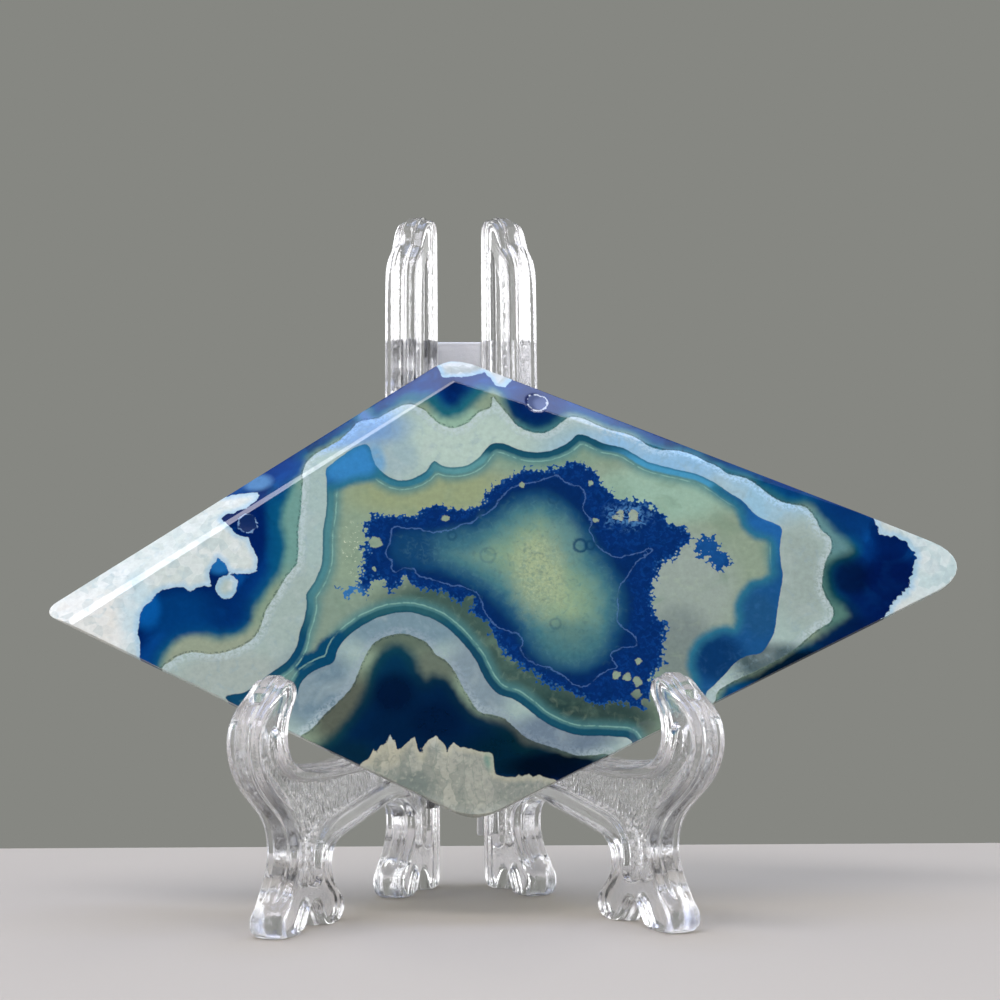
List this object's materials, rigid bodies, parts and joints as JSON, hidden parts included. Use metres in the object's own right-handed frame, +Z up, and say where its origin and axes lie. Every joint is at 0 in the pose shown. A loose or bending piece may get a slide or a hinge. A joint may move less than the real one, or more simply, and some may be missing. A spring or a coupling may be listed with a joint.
{
  "type": "agate slab on a display easel",
  "caption": "Kite-shaped slab of polished blue banded agate with bevelled upper edges, leaning on a clear plastic two-leaf display easel.",
  "frame": {"origin": "Middle of the footprint of the whole object, on the surface that the feet stand on.", "axes": "+Z is up, +X runs along the slab from its left tip to its right tip, and the front of the stone and the hooks face -Y."},
  "size_m": [0.1076, 0.0484, 0.0847],
  "materials": {
    "agate": "high polish",
    "clear_plastic": "clear, as moulded"
  },
  "bodies": {
    "root": {"agate_slab": "agate", "stand_left_leaf": "clear_plastic", "stand_right_leaf": "clear_plastic"}
  },
  "joints": []
}
